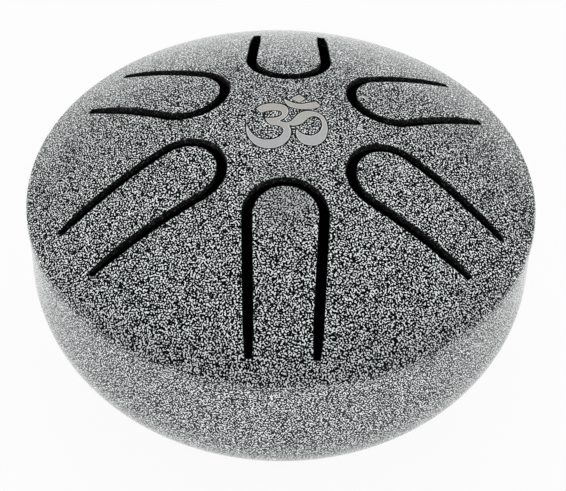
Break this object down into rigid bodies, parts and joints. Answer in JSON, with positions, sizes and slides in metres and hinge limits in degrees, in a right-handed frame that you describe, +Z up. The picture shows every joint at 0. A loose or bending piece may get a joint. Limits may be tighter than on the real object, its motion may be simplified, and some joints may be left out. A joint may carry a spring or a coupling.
{
  "type": "steel tongue drum",
  "caption": "Small steel tongue drum: slotted dome with sprung tongues of graded length on a round bowl with a sound hole below and rubber feet.",
  "frame": {"origin": "on the floor under the drum's axis, at the centre of the base of the bounding box", "axes": "+Z up along the drum's axis, -Y towards the player and the longest tongue, +X to the player's right"},
  "size_m": [0.094, 0.094, 0.0533],
  "materials": {
    "speckled_coat": "silver vein powder coat on black, satin",
    "weld_bead": "ground weld under powder coat",
    "foot_rubber": "matt moulded rubber"
  },
  "bodies": {
    "drum": {"top_shell": "speckled_coat", "bottom_shell": "speckled_coat", "weld_seam": "weld_bead", "foot_1": "foot_rubber", "foot_2": "foot_rubber", "foot_3": "foot_rubber"},
    "tongue_1": {"tongue_1": "speckled_coat"},
    "tongue_2": {"tongue_2": "speckled_coat"},
    "tongue_3": {"tongue_3": "speckled_coat"},
    "tongue_4": {"tongue_4": "speckled_coat"},
    "tongue_5": {"tongue_5": "speckled_coat"},
    "tongue_6": {"tongue_6": "speckled_coat"}
  },
  "joints": [
    {"name": "tongue_1_flex", "type": "hinge", "parent": "drum", "child": "tongue_1", "pos_m": [0.00085, -0.04299, 0.03866], "axis": [-1, 0, 0], "range_deg": [-0.4, 0.4], "stiffness_Nm_per_rad": 32.8},
    {"name": "tongue_2_flex", "type": "hinge", "parent": "drum", "child": "tongue_2", "pos_m": [-0.03698, -0.01914, 0.03963], "axis": [-0.5, 0.866, 0], "range_deg": [-0.4, 0.4], "stiffness_Nm_per_rad": 35.1},
    {"name": "tongue_3_flex", "type": "hinge", "parent": "drum", "child": "tongue_3", "pos_m": [0.03712, -0.01824, 0.03982], "axis": [-0.5, -0.866, 0], "range_deg": [-0.4, 0.4], "stiffness_Nm_per_rad": 37.5},
    {"name": "tongue_4_flex", "type": "hinge", "parent": "drum", "child": "tongue_4", "pos_m": [-0.033, 0.02224, 0.04087], "axis": [0.5, 0.866, 0], "range_deg": [-0.4, 0.4], "stiffness_Nm_per_rad": 41.9},
    {"name": "tongue_5_flex", "type": "hinge", "parent": "drum", "child": "tongue_5", "pos_m": [0.03383, 0.02174, 0.0406], "axis": [0.5, -0.866, 0], "range_deg": [-0.4, 0.4], "stiffness_Nm_per_rad": 43.8},
    {"name": "tongue_6_flex", "type": "hinge", "parent": "drum", "child": "tongue_6", "pos_m": [0.00085, 0.03848, 0.0417], "axis": [1, 0, 0], "range_deg": [-0.4, 0.4], "stiffness_Nm_per_rad": 48.7}
  ]
}
